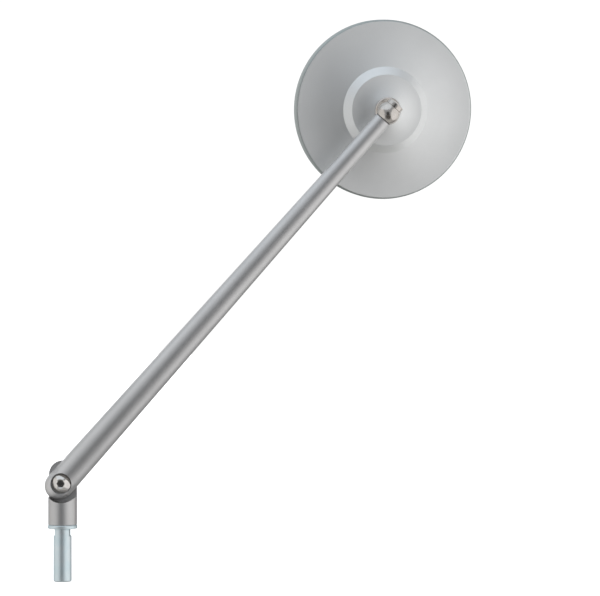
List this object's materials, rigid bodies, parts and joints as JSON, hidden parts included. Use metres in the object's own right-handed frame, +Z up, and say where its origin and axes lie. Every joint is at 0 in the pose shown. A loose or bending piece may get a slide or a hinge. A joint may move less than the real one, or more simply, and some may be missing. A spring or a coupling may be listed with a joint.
{
  "type": "motorcycle rear-view mirror",
  "caption": "Round rear-view mirror on a tapered aluminium stem, with a lap hinge at the foot, a swivelling ball joint behind the head and a plain steel mounting stud.",
  "frame": {"origin": "on the axis of the mounting stud, where the full 10 mm round of its shank ends and its spanner flats begin", "axes": "+Z up the stud's axis, away from its tip; the stem leans towards +X in the XZ plane; -Y is the side of the head's back, +Y the side of its glass"},
  "size_m": [0.2367, 0.0452, 0.3129],
  "materials": {
    "anodised_aluminium": "satin anodised, lightly turned",
    "head_aluminium": "fine bead-blasted and anodised",
    "zinc_plated_steel": "bright blue zinc plate",
    "stainless_screw": "polished stainless steel",
    "polished_stainless": "mirror-polished stainless steel",
    "spring_steel": "phosphated",
    "bearing_plastic": "matte black low-friction plastic",
    "foam_pad": "black closed-cell foam tape",
    "seal_rubber": "black rubber",
    "mirror_glass": "convex silvered glass"
  },
  "bodies": {
    "base": {"stud": "zinc_plated_steel", "foot": "anodised_aluminium", "hinge_insert": "zinc_plated_steel", "hinge_screw": "stainless_screw", "hinge_disc_spring": "spring_steel", "friction_washer": "bearing_plastic"},
    "stem": {"hinge_bush": "bearing_plastic", "stem": "anodised_aluminium", "stem_insert": "zinc_plated_steel", "stem_washer": "bearing_plastic"},
    "housing": {"ball_housing": "polished_stainless", "ball_seat": "bearing_plastic", "ball_pressure_seat": "bearing_plastic", "cap_disc_spring": "spring_steel", "housing_cap": "polished_stainless"},
    "head": {"ball_stud": "polished_stainless", "boss_lock_washer": "spring_steel", "ball_stud_nut": "zinc_plated_steel", "head_shell": "head_aluminium", "glass_pad": "foam_pad", "glass": "mirror_glass", "glass_seal": "seal_rubber"}
  },
  "joints": [
    {"name": "stem_hinge", "type": "hinge", "parent": "base", "child": "stem", "pos_m": [0, 0, 0.0295], "axis": [0, 1, 0], "range_deg": [-120, 38]},
    {"name": "housing_roll", "type": "hinge", "parent": "stem", "child": "housing", "pos_m": [0.18221, 0, 0.23548], "axis": [0.6639, 0, 0.7478], "continuous": true},
    {"name": "ball_tilt", "type": "hinge", "parent": "housing", "child": "head", "pos_m": [0.18221, 0, 0.23548], "axis": [0.7271, 0.2334, -0.6456], "range_deg": [-7.5, 11]}
  ]
}
